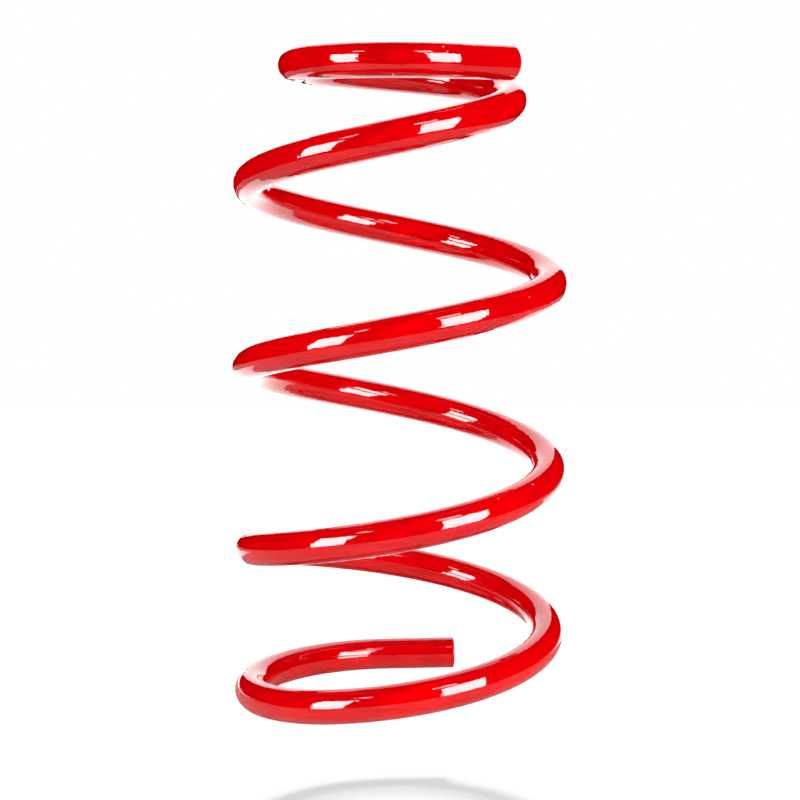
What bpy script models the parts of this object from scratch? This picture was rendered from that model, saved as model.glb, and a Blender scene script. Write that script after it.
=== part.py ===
"""Coil spring of a car's suspension strut: one round steel wire wound into a right-handed helix.

The coil axis is +Z and the lowest point of the wire lies at z = 0. The wire is cut, square to
its own direction, into a lower end coil, short active lengths and an upper end coil. When the
spring is squeezed each length turns a little about the wire's own direction at the cut below it,
which is how the twist of a real spring wire shortens the coil.
"""

import math

import bmesh
import bpy
from mathutils import Matrix, Vector

# Wire
WIRE_RADIUS = 0.007
WIRE_SIDES = 16
END_CHAMFER = 0.0005
CUT_GAP = 0.0003

# Coils, measured from the coil axis to the middle of the wire
BODY_COIL_RADIUS = 0.063
TOP_COIL_RADIUS = 0.0438

# Winding, in turns. The lower end's sizes count from the lower end, the taper's from the upper
TOTAL_TURNS = 4.734
LOWER_END_ANGLE = math.radians(68.9)
LOWER_TAIL_TURNS = 0.072
UPPER_TAIL_TURNS = 0.081
UPPER_END_TURNS = 0.484
LOWER_END_TURNS = 0.5
TAPER_START_BELOW_TOP = 1.488
TAPER_END_BELOW_TOP = 0.810
# Rise per turn that the coiling machine is set to at each station, blended evenly in between.
# The first station is where the climb starts and the last is where the upper end coil lies flat
PITCH_STATIONS = (
    (0.10, 0.0000),
    (0.25, 0.0082),
    (0.50, 0.0607),
    (0.75, 0.0566),
    (1.25, 0.0753),
    (1.75, 0.0706),
    (2.25, 0.0907),
    (2.75, 0.0646),
    (3.25, 0.0870),
    (3.75, 0.0650),
    (4.25, 0.0000),
)

# Lengths of wire
ACTIVE_LENGTHS = 30
TURNS_PER_LENGTH = (TOTAL_TURNS - UPPER_END_TURNS - LOWER_END_TURNS) / ACTIVE_LENGTHS
TURNS_PER_RING = 1.0 / 48.0
TANGENT_STEP_TURNS = 1e-4

# Paint
PAINT_COLOUR = (0.72, 0.004, 0.006, 1.0)
PAINT_ROUGHNESS = 0.12
SMOOTH_UNDER = math.radians(30.0)


def coil_rise(turn):
    """Height wound up between the lower end of the wire and this turn."""
    rise = 0.0
    climb_from = PITCH_STATIONS[0][0]
    stations_span = PITCH_STATIONS[-1][0] - climb_from
    stretch = (TOTAL_TURNS - UPPER_END_TURNS - climb_from) / stations_span
    for (low, start_pitch), (high, end_pitch) in zip(PITCH_STATIONS, PITCH_STATIONS[1:]):
        start = climb_from + (low - climb_from) * stretch
        end = climb_from + (high - climb_from) * stretch
        reached = min(max(turn, start), end)
        share = (reached - start) / (end - start)
        reached_pitch = start_pitch + share * (end_pitch - start_pitch)
        rise += (reached - start) * (start_pitch + reached_pitch) / 2.0
    return rise


def coil_radius(turn):
    """Coil radius at this turn: the body, an even taper, then the smaller top coil."""
    tapered = TAPER_START_BELOW_TOP - (TOTAL_TURNS - turn)
    share = tapered / (TAPER_START_BELOW_TOP - TAPER_END_BELOW_TOP)
    share = min(max(share, 0.0), 1.0)
    blend = share * share * (3.0 - 2.0 * share)
    return BODY_COIL_RADIUS + blend * (TOP_COIL_RADIUS - BODY_COIL_RADIUS)


def wire_centre(turn):
    """Middle of the wire at this turn. Past each tail's start the wire runs straight on."""
    curved = min(max(turn, LOWER_TAIL_TURNS), TOTAL_TURNS - UPPER_TAIL_TURNS)
    radius = coil_radius(curved) / math.cos((turn - curved) * math.tau)
    angle = LOWER_END_ANGLE + turn * math.tau
    height = WIRE_RADIUS + coil_rise(turn)
    return Vector((radius * math.cos(angle), radius * math.sin(angle), height))


def wire_frame(turn):
    """Frame at this turn: X away from the coil axis, Y down the wire's side, Z along the wire."""
    step = TANGENT_STEP_TURNS
    along = (wire_centre(turn + step) - wire_centre(turn - step)).normalized()
    level = along.cross(Vector((0.0, 0.0, 1.0))).normalized()
    side = along.cross(level)
    frame = Matrix((level, side, along)).transposed().to_4x4()
    frame.translation = wire_centre(turn)
    return frame


def turns_for(length, turn):
    """Turns of winding that take up this length of wire near this turn."""
    step = TANGENT_STEP_TURNS
    travelled = (wire_centre(turn + step) - wire_centre(turn - step)).length
    return length * 2.0 * step / travelled


def ring_points(turn, radius):
    """Corners of the wire's section, its flats level and upright where the wire runs level."""
    frame = wire_frame(turn)
    corner_radius = radius / math.cos(math.pi / WIRE_SIDES)
    points = []
    for side in range(WIRE_SIDES):
        angle = (side + 0.5) * math.tau / WIRE_SIDES
        corner = Vector((math.cos(angle), math.sin(angle), 0.0)) * corner_radius
        points.append(frame @ corner)
    return points


def section_rings(start, end):
    """Sections from one turn to another, chamfered where the wire itself begins or ends."""
    rings = []
    first = start
    last = end
    if start == 0.0:
        first = turns_for(END_CHAMFER, start)
        rings.append(ring_points(start, WIRE_RADIUS - END_CHAMFER))
    if end == TOTAL_TURNS:
        last = end - turns_for(END_CHAMFER, end)
    steps = max(1, round((last - first) / TURNS_PER_RING))
    for step in range(steps + 1):
        rings.append(ring_points(first + (last - first) * step / steps, WIRE_RADIUS))
    if end == TOTAL_TURNS:
        rings.append(ring_points(end, WIRE_RADIUS - END_CHAMFER))
    return rings


def paint_for(name):
    material = bpy.data.materials.new(name + "_paint")
    material.use_nodes = True
    shader = material.node_tree.nodes["Principled BSDF"]
    shader.inputs["Base Color"].default_value = PAINT_COLOUR
    shader.inputs["Roughness"].default_value = PAINT_ROUGHNESS
    shader.inputs["Metallic"].default_value = 0.0
    return material


def wire_length(name, start, end, pivot_turn, below):
    """One length of wire, its origin and Z axis on the cut that it turns about."""
    placed = wire_frame(pivot_turn)
    to_local = placed.inverted()
    solid = bmesh.new()
    rings = []
    for points in section_rings(start, end):
        rings.append([solid.verts.new(to_local @ point) for point in points])
    for lower, upper in zip(rings, rings[1:]):
        for side in range(WIRE_SIDES):
            turned = (side + 1) % WIRE_SIDES
            solid.faces.new((lower[side], lower[turned], upper[turned], upper[side]))
    solid.faces.new(list(reversed(rings[0])))
    solid.faces.new(rings[-1])
    bmesh.ops.recalc_face_normals(solid, faces=solid.faces)
    mesh = bpy.data.meshes.new(name)
    solid.to_mesh(mesh)
    solid.free()
    mesh.shade_smooth()
    mesh.set_sharp_from_angle(angle=SMOOTH_UNDER)
    mesh.materials.append(paint_for(name))
    piece = bpy.data.objects.new(name, mesh)
    bpy.context.scene.collection.objects.link(piece)
    piece.parent = below
    piece.matrix_world = placed
    bpy.context.view_layer.update()
    return piece


def build_spring():
    """Every length of wire, each hung on the one below it."""
    gap = CUT_GAP / 2.0
    cut = LOWER_END_TURNS
    piece = wire_length("lower_end_coil", 0.0, cut - turns_for(gap, cut), 0.0, None)
    for number in range(1, ACTIVE_LENGTHS + 1):
        name = f"active_wire_{number:02d}"
        upper_cut = cut + TURNS_PER_LENGTH
        start = cut + turns_for(gap, cut)
        end = upper_cut - turns_for(gap, upper_cut)
        piece = wire_length(name, start, end, cut, piece)
        cut = upper_cut
    wire_length("upper_end_coil", cut + turns_for(gap, cut), TOTAL_TURNS, cut, piece)


for leftover in list(bpy.data.objects):
    bpy.data.objects.remove(leftover, do_unlink=True)
build_spring()
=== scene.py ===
"""Coil spring of a car's suspension strut: red powder-coated steel wire, with its studio."""

import math

import bpy
from mathutils import Euler, Matrix, Vector, noise


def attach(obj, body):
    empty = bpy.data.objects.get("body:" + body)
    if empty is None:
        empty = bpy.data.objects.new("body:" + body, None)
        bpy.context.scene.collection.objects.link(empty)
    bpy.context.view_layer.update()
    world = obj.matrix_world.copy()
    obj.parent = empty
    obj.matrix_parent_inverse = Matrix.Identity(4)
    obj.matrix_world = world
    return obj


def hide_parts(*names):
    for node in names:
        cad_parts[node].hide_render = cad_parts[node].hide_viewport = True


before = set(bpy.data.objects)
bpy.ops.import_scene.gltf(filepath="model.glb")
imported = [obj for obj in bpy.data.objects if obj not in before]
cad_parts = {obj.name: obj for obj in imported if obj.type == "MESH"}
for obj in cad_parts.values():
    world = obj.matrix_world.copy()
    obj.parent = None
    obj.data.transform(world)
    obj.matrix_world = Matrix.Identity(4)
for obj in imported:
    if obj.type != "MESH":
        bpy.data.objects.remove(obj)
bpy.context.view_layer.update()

# ---------------------------------------------------------------------------
# Camera: a long lens at the height of the spring's upper coils, tipped slightly
# down, so that the lower coils are seen from further above than the top one.
# ---------------------------------------------------------------------------
CAMERA_PLACE = (0.0, -0.80706, 0.22908)
CAMERA_TIP_DOWN = 0.1192
CAMERA_TURN = -0.0004
CAMERA_ROLL = 0.0024
SENSOR_WIDTH_MM = 36.0
FOCAL_LENGTH_MM = 86.677


def add_camera():
    """The camera, aimed along +Y before it is tipped."""
    lens = bpy.data.cameras.new("studio_camera")
    lens.sensor_width = SENSOR_WIDTH_MM
    lens.lens = FOCAL_LENGTH_MM
    lens.dof.use_dof = False
    camera = bpy.data.objects.new("studio_camera", lens)
    bpy.context.scene.collection.objects.link(camera)
    turned = Euler((math.pi / 2.0 - CAMERA_TIP_DOWN, 0.0, CAMERA_TURN), "XYZ").to_matrix()
    rolled = turned @ Matrix.Rotation(CAMERA_ROLL, 3, "Z")
    camera.matrix_world = Matrix.Translation(CAMERA_PLACE) @ rolled.to_4x4()
    bpy.context.scene.camera = camera


add_camera()


# ---------------------------------------------------------------------------
# Wire: one round bar of spring steel, 14 mm thick, coiled hot or cold on a
# mandrel into a right-handed helix. Its body coils are one size, and the last
# turn tapers to a smaller, level top coil. Both ends are cut square.
# ---------------------------------------------------------------------------
WIRE_RADIUS = 0.007
BODY_COIL_RADIUS = 0.063
TOP_COIL_RADIUS = 0.0438
TOTAL_TURNS = 4.734
LOWER_END_ANGLE = math.radians(68.9)
LOWER_TAIL_TURNS = 0.072
UPPER_TAIL_TURNS = 0.081
TAPER_START_BELOW_TOP = 1.488
TAPER_END_BELOW_TOP = 0.810
# Rise per turn at each turn from the lower end, blended evenly in between
PITCH_STATIONS = (
    (0.10, 0.0000),
    (0.25, 0.0082),
    (0.50, 0.0607),
    (0.75, 0.0566),
    (1.25, 0.0753),
    (1.75, 0.0706),
    (2.25, 0.0907),
    (2.75, 0.0646),
    (3.25, 0.0870),
    (3.75, 0.0650),
    (4.25, 0.0000),
)
TANGENT_STEP_TURNS = 1e-4


def coil_rise(turn):
    """Height wound up between the lower end of the wire and this turn."""
    rise = 0.0
    for (start, start_pitch), (end, end_pitch) in zip(PITCH_STATIONS, PITCH_STATIONS[1:]):
        reached = min(max(turn, start), end)
        share = (reached - start) / (end - start)
        reached_pitch = start_pitch + share * (end_pitch - start_pitch)
        rise += (reached - start) * (start_pitch + reached_pitch) / 2.0
    return rise


def coil_radius(turn):
    """Coil radius at this turn: the body, an even taper, then the smaller top coil."""
    tapered = TAPER_START_BELOW_TOP - (TOTAL_TURNS - turn)
    share = tapered / (TAPER_START_BELOW_TOP - TAPER_END_BELOW_TOP)
    share = min(max(share, 0.0), 1.0)
    ease = share * share * (3.0 - 2.0 * share)
    return BODY_COIL_RADIUS + ease * (TOP_COIL_RADIUS - BODY_COIL_RADIUS)


def wire_centre(turn):
    """Middle of the wire at this turn. Past each tail's start the wire runs straight on."""
    curved = min(max(turn, LOWER_TAIL_TURNS), TOTAL_TURNS - UPPER_TAIL_TURNS)
    radius = coil_radius(curved) / math.cos((turn - curved) * math.tau)
    angle = LOWER_END_ANGLE + turn * math.tau
    height = WIRE_RADIUS + coil_rise(turn)
    return Vector((radius * math.cos(angle), radius * math.sin(angle), height))


def wire_frame(turn):
    """The wire's middle here, and its level, sideways and lengthwise directions."""
    step = TANGENT_STEP_TURNS
    along = (wire_centre(turn + step) - wire_centre(turn - step)).normalized()
    level = along.cross(Vector((0.0, 0.0, 1.0))).normalized()
    return wire_centre(turn), level, along.cross(level), along


def turns_for(length, turn):
    """Turns of winding that take up this length of wire near this turn."""
    step = TANGENT_STEP_TURNS
    travelled = (wire_centre(turn + step) - wire_centre(turn - step)).length
    return length * 2.0 * step / travelled


# ---------------------------------------------------------------------------
# Paint: gloss red powder coat, sprayed dry and baked into a film about 0.1 mm
# thick. It levels as it melts, so it mirrors the studio, but a long, shallow
# orange peel bends the edges of what it mirrors.
# ---------------------------------------------------------------------------
PAINT_RED = "CB0004"
PAINT_DEEP_RED = "BF0006"
DUST_PALE = "F0A8A0"
PAINT_IOR = 1.52
PAINT_ROUGHNESS = 0.28
CLEAR_FILM_ROUGHNESS = 0.035
# Each unevenness: how many to the metre, its detail and roughness, and how deep it is in metres.
# The wire itself wavers every 20 mm, the peel repeats every 3 mm and its ripple every 0.9 mm
WAVER = (1.0 / 0.020, 1.0, 0.5, 0.00008)
PEEL = (1.0 / 0.0032, 1.0, 0.4, 0.00008)
RIPPLE = (1.0 / 0.0009, 2.0, 0.5, 0.000006)
# The film runs a little thicker, and so deeper in colour, in the hollows of the waver
THICK_FILM_BELOW = 0.35
THIN_FILM_ABOVE = 0.65
# Dust that fell on the wet film: specks about 9 mm apart in every direction, one in three of
# them kept. A speck shows as a nib where the surface passes within this share of a spacing
NIB_PER_METRE = 1.0 / 0.009
NIB_REACH = 0.07
NIB_KEPT_ABOVE = 0.62
NIB_HEIGHT = 0.00015


def linear_colour(hex_text):
    """An sRGB hex colour as the linear colour that the shaders take."""
    linear = []
    for place in (0, 2, 4):
        channel = int(hex_text[place : place + 2], 16) / 255.0
        dark = channel <= 0.04045
        linear.append(channel / 12.92 if dark else ((channel + 0.055) / 1.055) ** 2.4)
    return (*linear, 1.0)


def add_node(tree, kind, settings=None, inputs=None):
    """A node of this kind with its settings, and each input set or linked."""
    made = tree.nodes.new(kind)
    for name, value in (settings or {}).items():
        setattr(made, name, value)
    for name, value in (inputs or {}).items():
        if isinstance(value, bpy.types.NodeSocket):
            tree.links.new(value, made.inputs[name])
        else:
            made.inputs[name].default_value = value
    return made


def add_noise(tree, place, unevenness):
    """The height of one kind of unevenness, from 0 to 1."""
    scale, detail, roughness, _ = unevenness
    sizes = {"Vector": place, "Scale": scale, "Detail": detail, "Roughness": roughness}
    return add_node(tree, "ShaderNodeTexNoise", inputs=sizes).outputs["Fac"]


def add_bump(tree, height, depth, under=None, strength=1.0):
    """The way the surface faces once this height, this deep, lies over what is under it."""
    sizes = {"Strength": strength, "Distance": depth, "Height": height}
    if under is not None:
        sizes["Normal"] = under
    return add_node(tree, "ShaderNodeBump", inputs=sizes).outputs["Normal"]


def add_smooth_step(tree, value, start, end, start_height, end_height):
    """A smooth slope from one height to another as the value goes from start to end."""
    sizes = {"Value": value, "From Min": start, "From Max": end}
    sizes.update({"To Min": start_height, "To Max": end_height})
    smooth = {"interpolation_type": "SMOOTHSTEP"}
    return add_node(tree, "ShaderNodeMapRange", smooth, sizes).outputs["Result"]


def add_colour_mix(tree, share, first, second):
    """This share of the second colour over the first."""
    colours = {"Factor": share, "A": first, "B": second}
    return add_node(tree, "ShaderNodeMix", {"data_type": "RGBA"}, colours).outputs["Result"]


def add_dust(tree, place):
    """How much of each spot is a nib of dust, from 0 to 1."""
    cells = {"Vector": place, "Scale": NIB_PER_METRE, "Randomness": 1.0}
    nibs = add_node(tree, "ShaderNodeTexVoronoi", inputs=cells)
    height = add_smooth_step(tree, nibs.outputs["Distance"], 0.0, NIB_REACH, 1.0, 0.0)
    chance = {0: nibs.outputs["Color"], 1: NIB_KEPT_ABOVE}
    kept = add_node(tree, "ShaderNodeMath", {"operation": "GREATER_THAN"}, chance)
    both = {0: height, 1: kept.outputs["Value"]}
    return add_node(tree, "ShaderNodeMath", {"operation": "MULTIPLY"}, both).outputs["Value"]


def gloss_red_powder_coat():
    """Red under a clear gloss: deep colour, sharp reflections with softly wandering edges."""
    paint = bpy.data.materials.new("gloss_red_powder_coat")
    paint.use_nodes = True
    tree = paint.node_tree
    shader = tree.nodes["Principled BSDF"]
    place = add_node(tree, "ShaderNodeTexCoord").outputs["Object"]
    waver = add_noise(tree, place, WAVER)
    dust = add_dust(tree, place)
    thin = add_smooth_step(tree, waver, THICK_FILM_BELOW, THIN_FILM_ABOVE, 0.0, 1.0)
    red = add_colour_mix(tree, thin, linear_colour(PAINT_DEEP_RED), linear_colour(PAINT_RED))
    speckled = add_colour_mix(tree, dust, red, linear_colour(DUST_PALE))
    facing = add_bump(tree, waver, WAVER[-1])
    for unevenness in (PEEL, RIPPLE):
        facing = add_bump(tree, add_noise(tree, place, unevenness), unevenness[-1], facing)
    facing = add_bump(tree, dust, NIB_HEIGHT, facing)
    tree.links.new(speckled, shader.inputs["Base Color"])
    tree.links.new(facing, shader.inputs["Normal"])
    tree.links.new(facing, shader.inputs["Coat Normal"])
    shader.inputs["Metallic"].default_value = 0.0
    shader.inputs["Roughness"].default_value = PAINT_ROUGHNESS
    shader.inputs["IOR"].default_value = PAINT_IOR
    # All the gloss is the clear film's
    shader.inputs["Specular IOR Level"].default_value = 0.0
    shader.inputs["Coat Weight"].default_value = 1.0
    shader.inputs["Coat Roughness"].default_value = CLEAR_FILM_ROUGHNESS
    shader.inputs["Coat IOR"].default_value = PAINT_IOR
    return paint


red_paint = gloss_red_powder_coat()


# ---------------------------------------------------------------------------
# Active coils: the thirty lengths between the two end coils, which are the part
# of the wire that twists. They are one wire, so each meets the next within a hair,
# and each turns about the wire's own direction at the cut below it.
# ---------------------------------------------------------------------------
LOWER_END_TURNS = 0.5
ACTIVE_LENGTHS = 30
TURNS_PER_LENGTH = 0.125
TURNS_PER_RING = 1.0 / 160.0
SIDES = 72
# The coiling tools leave the wire up to 0.02 mm off round, in long shallow flats
FLATS_DEPTH = 0.00002
FLATS_PER_METRE = 1.0 / 0.018
# At a cut only the skin of the wire meets the next length, a hair short of touching it, and its
# core stops half a gap short
CUT_GAP = 0.0003
HAIRLINE = 0.000003
SKIN = 0.0006


def directions_round(turn):
    """The directions straight out of the wire, all the way round it at this turn."""
    _, level, side, _ = wire_frame(turn)
    angles = [corner * math.tau / SIDES for corner in range(SIDES)]
    return [level * math.cos(angle) + side * math.sin(angle) for angle in angles]


def round_section(turn):
    """One ring of points round the wire, with the outward direction of each."""
    centre = wire_centre(turn)
    directions = directions_round(turn)
    points = []
    for out in directions:
        dent = (noise.noise((centre + out * WIRE_RADIUS) * FLATS_PER_METRE) - 1.0) * FLATS_DEPTH
        points.append(centre + out * (WIRE_RADIUS + dent))
    return points, directions


def core_end(turn, outward):
    """The ring where a length's core ends, inside its skin. Outward is 1 up the wire, -1 down."""
    centre, _, _, along = wire_frame(turn)
    middle = centre - along * (outward * CUT_GAP / 2.0)
    points = [middle + out * (WIRE_RADIUS - SKIN) for out in directions_round(turn)]
    return points, [along * outward] * SIDES


def bar_mesh(name, rings, directions, start_cap, end_cap):
    """A closed bar through these rings, each face corner with the direction it is shaded by."""
    points = [point for ring in rings for point in ring]
    faces = []
    shading = []
    for row in range(len(rings) - 1):
        for corner in range(SIDES):
            turned = (corner + 1) % SIDES
            low = row * SIDES
            high = low + SIDES
            faces.append((low + corner, low + turned, high + turned, high + corner))
            shading.append(directions[row][corner])
            shading.append(directions[row][turned])
            shading.append(directions[row + 1][turned])
            shading.append(directions[row + 1][corner])
    last = (len(rings) - 1) * SIDES
    faces.append(tuple(range(SIDES - 1, -1, -1)))
    shading.extend([start_cap] * SIDES)
    faces.append(tuple(range(last, last + SIDES)))
    shading.extend([end_cap] * SIDES)
    mesh = bpy.data.meshes.new(name)
    mesh.from_pydata(points, [], faces)
    mesh.shade_smooth()
    mesh.normals_split_custom_set(shading)
    mesh.materials.append(red_paint)
    return mesh


def place_length(name, node, mesh):
    """Shows this length in place of its plain solid, moving with it."""
    piece = bpy.data.objects.new(name, mesh)
    bpy.context.scene.collection.objects.link(piece)
    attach(piece, node)
    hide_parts(node)


def add_active_length(number):
    """One length of the wire that twists, from the cut below it to the cut above."""
    start = LOWER_END_TURNS + (number - 1) * TURNS_PER_LENGTH
    end = start + TURNS_PER_LENGTH
    first = start + turns_for(HAIRLINE, start)
    last = end - turns_for(HAIRLINE, end)
    steps = round(TURNS_PER_LENGTH / TURNS_PER_RING)
    sections = [core_end(start, -1.0)]
    for step in range(steps + 1):
        sections.append(round_section(first + step * (last - first) / steps))
    sections.append(core_end(end, 1.0))
    rings, directions = zip(*sections)
    start_cap = -wire_frame(start)[3]
    end_cap = wire_frame(end)[3]
    node = f"active_wire_{number:02d}"
    mesh = bar_mesh(node + "_painted", rings, directions, start_cap, end_cap)
    place_length(node + "_painted", node, mesh)


for active_number in range(1, ACTIVE_LENGTHS + 1):
    add_active_length(active_number)


# ---------------------------------------------------------------------------
# Lower end coil: the first half turn, which lies in the strut's spring perch.
# It starts level and straight at the cut end and climbs into the first coil.
# The shear leaves a flat face, and the paint rounds its rim.
# ---------------------------------------------------------------------------
RIM_RADIUS = 0.0006
RIM_STEPS = 7
FACE_DISH = 0.00012
FACE_RINGS = 10


def cut_end_sections(end_turn, inward):
    """Rings from the middle of a cut face, out over its rounded rim, to the wire's side."""
    centre, _, _, along = wire_frame(end_turn)
    outward = -along * inward
    face_radius = WIRE_RADIUS - RIM_RADIUS
    outline = []
    for step in range(1, FACE_RINGS + 1):
        share = step / FACE_RINGS
        outline.append((face_radius * share, FACE_DISH * (1.0 - share * share), 0.0))
    for step in range(1, RIM_STEPS + 1):
        lean = step * math.pi / 2.0 / RIM_STEPS
        radius = face_radius + RIM_RADIUS * math.sin(lean)
        outline.append((radius, RIM_RADIUS * (1.0 - math.cos(lean)), lean))
    rings = []
    directions = []
    for radius, depth, lean in outline:
        ring = []
        facing = []
        for out in directions_round(end_turn):
            ring.append(centre - outward * depth + out * radius)
            facing.append((out * math.sin(lean) + outward * math.cos(lean)).normalized())
        rings.append(ring)
        directions.append(facing)
    return rings, directions, outward


def add_end_coil(node, cut_turn, joined_turn):
    """An end coil from its cut end to where the active coils take over."""
    inward = 1.0 if joined_turn > cut_turn else -1.0
    rings, directions, outward = cut_end_sections(cut_turn, inward)
    first = cut_turn + inward * turns_for(RIM_RADIUS, cut_turn)
    last = joined_turn - inward * turns_for(HAIRLINE, joined_turn)
    steps = round(abs(last - first) / TURNS_PER_RING)
    sections = []
    for step in range(1, steps + 1):
        sections.append(round_section(first + (last - first) * step / steps))
    sections.append(core_end(joined_turn, inward))
    for ring, facing in sections:
        rings.append(ring)
        directions.append(facing)
    caps = [outward, wire_frame(joined_turn)[3] * inward]
    if inward < 0.0:
        for row in (rings, directions, caps):
            row.reverse()
    mesh = bar_mesh(node + "_painted", rings, directions, *caps)
    place_length(node + "_painted", node, mesh)


add_end_coil("lower_end_coil", 0.0, LOWER_END_TURNS)


# ---------------------------------------------------------------------------
# Upper end coil: the last half turn of the smaller top coil, level under the
# strut's upper seat, and straight for 24 mm before its cut end.
# ---------------------------------------------------------------------------
UPPER_END_FROM = LOWER_END_TURNS + ACTIVE_LENGTHS * TURNS_PER_LENGTH

add_end_coil("upper_end_coil", TOTAL_TURNS, UPPER_END_FROM)


# ---------------------------------------------------------------------------
# Studio: a tall soft box at each side in front with a small one above it, a white
# board behind and a soft light overhead, round a white table in a dark room. The
# lens doesn't see the table, but a white floor below it with lights of its own.
# ---------------------------------------------------------------------------
FLOOR_WHITE = "F4F4F4"
FLOOR_DROP = 0.0545
FLOOR_HALF_SIDE = 1.5
# Light on the floor alone, as strength and spread: one lamp that the spring shades, and a fill
# that nothing shades
FLOOR_KEY = (1.75, math.radians(10.0))
FLOOR_FILL = (2.36, math.radians(13.0))
TABLE_WHITE = "E9E9E9"
TABLE_DROP = 0.002
TABLE_FRONT = -0.50
TABLE_BACK = 1.10
TABLE_HALF_WIDTH = 0.55
AIM_HEIGHT = 0.14
# Each light: its turn and rise from the spring and its lean in degrees, its distance, its width
# and height, and its glow
SOFT_LIGHTS = (
    ("left_soft_box", (-53.0, 15.0, 7.0), 1.5, (0.66, 1.15), 20.0),
    ("left_strip", (-47.5, 51.0, 0.0), 1.5, (0.22, 0.16), 10.0),
    ("right_soft_box", (42.0, 17.0, 0.0), 1.5, (0.82, 1.36), 20.0),
    ("right_strip", (29.0, 52.0, 0.0), 1.5, (0.33, 0.22), 11.0),
    ("white_board", (180.0, 24.0, 0.0), 1.3, (0.90, 1.34), 2.0),
)
# The gloss mirrors a light at its full glow. Matt surfaces get this share of it, which no real
# lamp does, so that the highlights are white and the red between them isn't
MATT_SHARE = 0.62
OVERHEAD_LIGHT = ((0.0, 90.0, 0.0), 1.6, (1.2, 1.2), 0.74)
# A lamp facing up stands for the light that the board throws on the far half of the table
FAR_TABLE_GLOW = ((180.0, 0.0, 0.0), 0.6, (0.62, 0.95), 2.2)
FAR_TABLE_PLACE = (0.0, 0.60, -0.001)
# The fibres of the card, given like an unevenness of the paint, and how much of their tooth shows
PAPER_FIBRES = (900.0, 2.0, 0.5, 0.0001)
PAPER_TOOTH = 0.1
PAPER_ROUGHNESS = 0.9


def matt_white_paper(name, shade):
    """Matt white card: no gloss of its own, with the fine tooth of its fibres."""
    paper = bpy.data.materials.new(name)
    paper.use_nodes = True
    tree = paper.node_tree
    shader = tree.nodes["Principled BSDF"]
    place = add_node(tree, "ShaderNodeTexCoord").outputs["Object"]
    fibres = add_noise(tree, place, PAPER_FIBRES)
    tooth = add_bump(tree, fibres, PAPER_FIBRES[-1], strength=PAPER_TOOTH)
    tree.links.new(tooth, shader.inputs["Normal"])
    shader.inputs["Base Color"].default_value = linear_colour(shade)
    shader.inputs["Roughness"].default_value = PAPER_ROUGHNESS
    shader.inputs["Specular IOR Level"].default_value = 0.0
    return paper


def add_flat_card(name, corners, material):
    """A level card between two opposite corners at one height."""
    (left, front), (right, back), height = corners
    outline = ((left, front), (right, front), (right, back), (left, back))
    mesh = bpy.data.meshes.new(name)
    mesh.from_pydata([(x, y, height) for x, y in outline], [], [(0, 1, 2, 3)])
    mesh.materials.append(material)
    card = bpy.data.objects.new(name, mesh)
    bpy.context.scene.collection.objects.link(card)
    return card


def add_soft_light(name, direction, distance, size, glow):
    """A glowing rectangle, placed by its direction from the spring and facing it."""
    azimuth, elevation, lean = direction
    width, height = size
    light = bpy.data.lights.new(name, "AREA")
    light.shape = "RECTANGLE"
    light.size = width
    light.size_y = height
    # A flat lamp's watts are pi times its glow and its area
    light.energy = glow * math.pi * width * height
    lamp = bpy.data.objects.new(name, light)
    bpy.context.scene.collection.objects.link(lamp)
    turned = math.radians(azimuth)
    raised = math.radians(elevation)
    away = Vector(
        (
            math.cos(raised) * math.sin(turned),
            -math.cos(raised) * math.cos(turned),
            math.sin(raised),
        )
    )
    stood = Vector((0.0, 0.0, AIM_HEIGHT)) + away * distance
    facing = away.to_track_quat("Z", "Y").to_matrix().to_4x4()
    leaning = Matrix.Rotation(math.radians(lean), 4, "Z")
    lamp.matrix_world = Matrix.Translation(stood) @ facing @ leaning
    return lamp


def add_mirrored_light(name, direction, distance, size, glow):
    """A soft light as two lamps in one place: what the gloss mirrors, and what lights the rest."""
    mirrored = add_soft_light(name + "_mirrored", direction, distance, size, glow)
    mirrored.visible_diffuse = False
    lighting = add_soft_light(name + "_lighting", direction, distance, size, glow * MATT_SHARE)
    lighting.visible_glossy = False
    return mirrored, lighting


def keep_off(lamp, card):
    """This light doesn't reach this card, as if a flag stood between them."""
    flagged = bpy.data.collections.new(lamp.name + "_flag")
    flagged.objects.link(card)
    flagged.collection_objects[0].light_linking.link_state = "EXCLUDE"
    lamp.light_linking.receiver_collection = flagged


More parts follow.
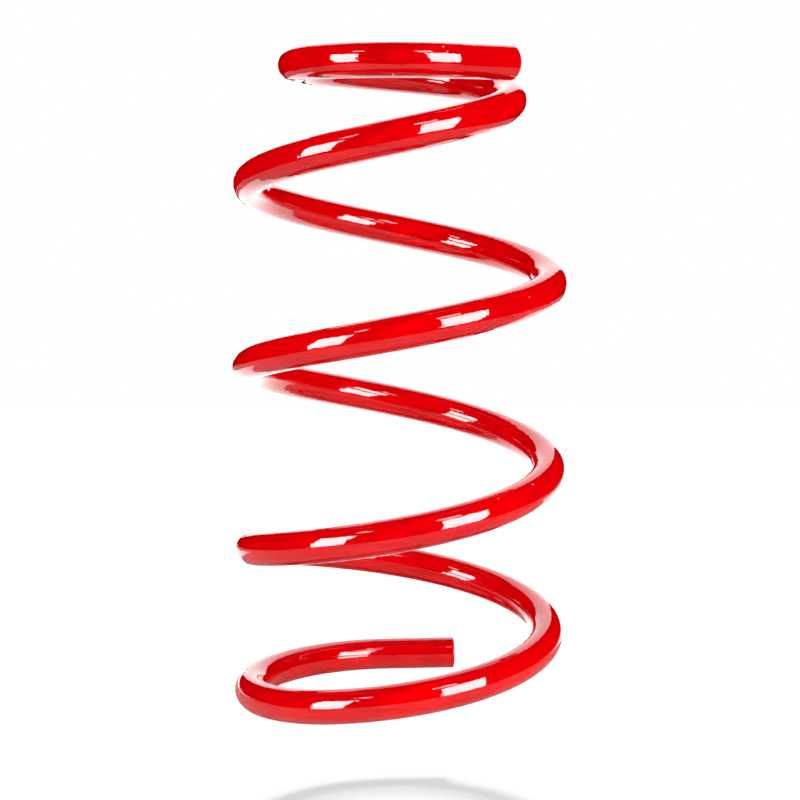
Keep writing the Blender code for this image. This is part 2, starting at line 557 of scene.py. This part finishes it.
def add_floor_light(name, strength_and_spread, card, shaded):
    """A broad light from straight above that reaches this card alone."""
    light = bpy.data.lights.new(name, "SUN")
    light.energy, light.angle = strength_and_spread
    lamp = bpy.data.objects.new(name, light)
    bpy.context.scene.collection.objects.link(lamp)
    reached = bpy.data.collections.new(name + "_reach")
    reached.objects.link(card)
    lamp.light_linking.receiver_collection = reached
    if not shaded:
        lamp.light_linking.blocker_collection = reached


def add_room():
    """The dark room round the table. The lens sees it white, as it sees the floor."""
    room = bpy.data.worlds.new("dark_room")
    room.use_nodes = True
    tree = room.node_tree
    tree.nodes.clear()
    seen = add_node(tree, "ShaderNodeLightPath").outputs["Is Camera Ray"]
    glow = {"Color": linear_colour("FFFFFF"), "Strength": seen}
    white = add_node(tree, "ShaderNodeBackground", inputs=glow)
    out = add_node(tree, "ShaderNodeOutputWorld")
    tree.links.new(white.outputs["Background"], out.inputs["Surface"])
    bpy.context.scene.world = room


floor = add_flat_card(
    "white_floor",
    ((-FLOOR_HALF_SIDE, -FLOOR_HALF_SIDE), (FLOOR_HALF_SIDE, FLOOR_HALF_SIDE), -FLOOR_DROP),
    matt_white_paper("matt_white_floor", FLOOR_WHITE),
)
floor.visible_glossy = False
floor.visible_diffuse = False
table = add_flat_card(
    "white_table",
    ((-TABLE_HALF_WIDTH, TABLE_FRONT), (TABLE_HALF_WIDTH, TABLE_BACK), -TABLE_DROP),
    matt_white_paper("matt_white_table", TABLE_WHITE),
)
table.visible_camera = False
table.visible_shadow = False
add_room()
for soft_light in SOFT_LIGHTS:
    for lamp in add_mirrored_light(*soft_light):
        keep_off(lamp, floor)
for lamp in add_mirrored_light("far_table_glow", *FAR_TABLE_GLOW):
    lamp.matrix_world = Matrix.Translation(FAR_TABLE_PLACE) @ Matrix.Rotation(math.pi, 4, "X")
    keep_off(lamp, floor)
overhead = add_soft_light("overhead_light", *OVERHEAD_LIGHT)
overhead.visible_glossy = False
keep_off(overhead, floor)
add_floor_light("floor_key", FLOOR_KEY, floor, True)
add_floor_light("floor_fill", FLOOR_FILL, floor, False)
bpy.context.scene.view_settings.view_transform = "Standard"
